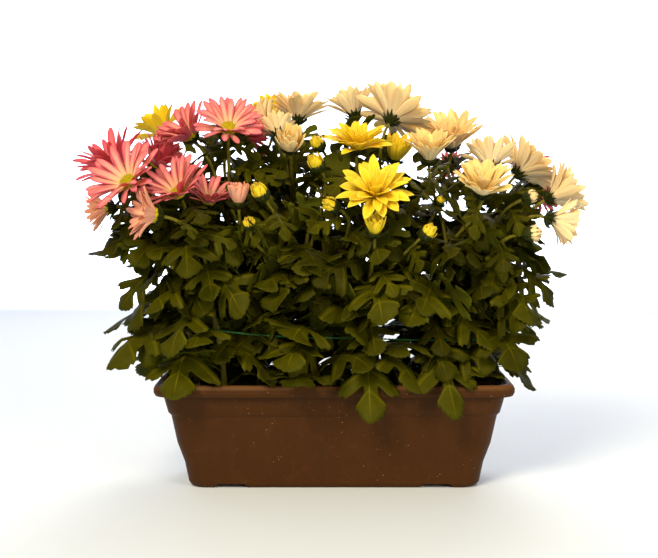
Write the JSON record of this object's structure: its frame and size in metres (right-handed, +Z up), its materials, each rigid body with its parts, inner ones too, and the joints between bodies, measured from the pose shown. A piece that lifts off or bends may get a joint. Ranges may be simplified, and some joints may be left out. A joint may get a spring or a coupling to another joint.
{
  "type": "planted window box",
  "caption": "Rectangular moulded plastic window box planted with pink, yellow and cream chrysanthemums: leafy shoots with open daisy heads, full heads and buds.",
  "frame": {"origin": "middle of the flat pad under the trough, on the surface that it stands on", "axes": "+X along the trough to the right as seen from the front, -Y out of the long front wall, +Z up"},
  "size_m": [0.4971, 0.268, 0.401],
  "materials": {
    "planter_plastic": "injection moulded polypropylene, dark brown, satin with a fine moulded grain",
    "potting_compost": "damp peat and bark potting compost, very dark brown, loose and lumpy",
    "root_ball_peat": "peat bound by fine roots, dark brown",
    "green_twine": "twisted polypropylene garden twine, green",
    "leaf_and_stem": "living chrysanthemum leaf and stem, dark olive green, soft satin with paler veins",
    "petals_pink": "living petal, dusty pink, paler towards its base and with a deep pink edge",
    "petals_yellow": "living petal, clear yellow, silky",
    "petals_cream": "living petal, warm cream, silky"
  },
  "bodies": {
    "root": {"cream_1_shoot": "leaf_and_stem", "cream_2_shoot": "leaf_and_stem", "cream_3_shoot": "leaf_and_stem", "cream_4_shoot": "leaf_and_stem", "cream_bud_2a": "petals_cream", "cream_bud_2b": "petals_cream", "cream_flower_1a": "petals_cream", "cream_flower_1b": "petals_cream", "cream_flower_1c": "petals_cream", "cream_flower_2a": "petals_cream", "cream_flower_2b": "petals_cream", "cream_flower_2c": "petals_cream", "cream_flower_3a": "petals_cream", "cream_flower_3b": "petals_cream", "cream_flower_3c": "petals_cream", "cream_flower_3d": "petals_cream", "cream_flower_4a": "petals_cream", "cream_flower_4b": "petals_cream", "cream_flower_4c": "petals_cream", "pink_1_shoot": "leaf_and_stem", "pink_2_shoot": "leaf_and_stem", "pink_3_shoot": "leaf_and_stem", "pink_4_shoot": "leaf_and_stem", "pink_flower_1a": "petals_pink", "pink_flower_1b": "petals_pink", "pink_flower_1c": "petals_pink", "pink_flower_2a": "petals_pink", "pink_flower_2b": "petals_pink", "pink_flower_2c": "petals_pink", "pink_flower_2d": "petals_pink", "pink_flower_3a": "petals_pink", "pink_flower_3b": "petals_pink", "pink_flower_3c": "petals_pink", "pink_flower_3d": "petals_pink", "pink_flower_4a": "petals_pink", "pink_flower_4b": "petals_pink", "pink_flower_4c": "petals_pink", "potting_soil": "potting_compost", "root_ball_left": "root_ball_peat", "root_ball_middle": "root_ball_peat", "root_ball_right": "root_ball_peat", "support_twine": "green_twine", "window_box": "planter_plastic", "yellow_1_shoot": "leaf_and_stem", "yellow_2_shoot": "leaf_and_stem", "yellow_3_shoot": "leaf_and_stem", "yellow_bud_1a": "petals_yellow", "yellow_bud_1b": "petals_yellow", "yellow_bud_1c": "petals_yellow", "yellow_bud_1d": "petals_yellow", "yellow_bud_1e": "petals_yellow", "yellow_bud_2a": "petals_yellow", "yellow_bud_2b": "petals_yellow", "yellow_flower_2a": "petals_yellow", "yellow_flower_2b": "petals_yellow", "yellow_flower_2c": "petals_yellow", "yellow_flower_2d": "petals_yellow", "yellow_flower_3a": "petals_yellow", "yellow_flower_3b": "petals_yellow"}
  },
  "joints": []
}
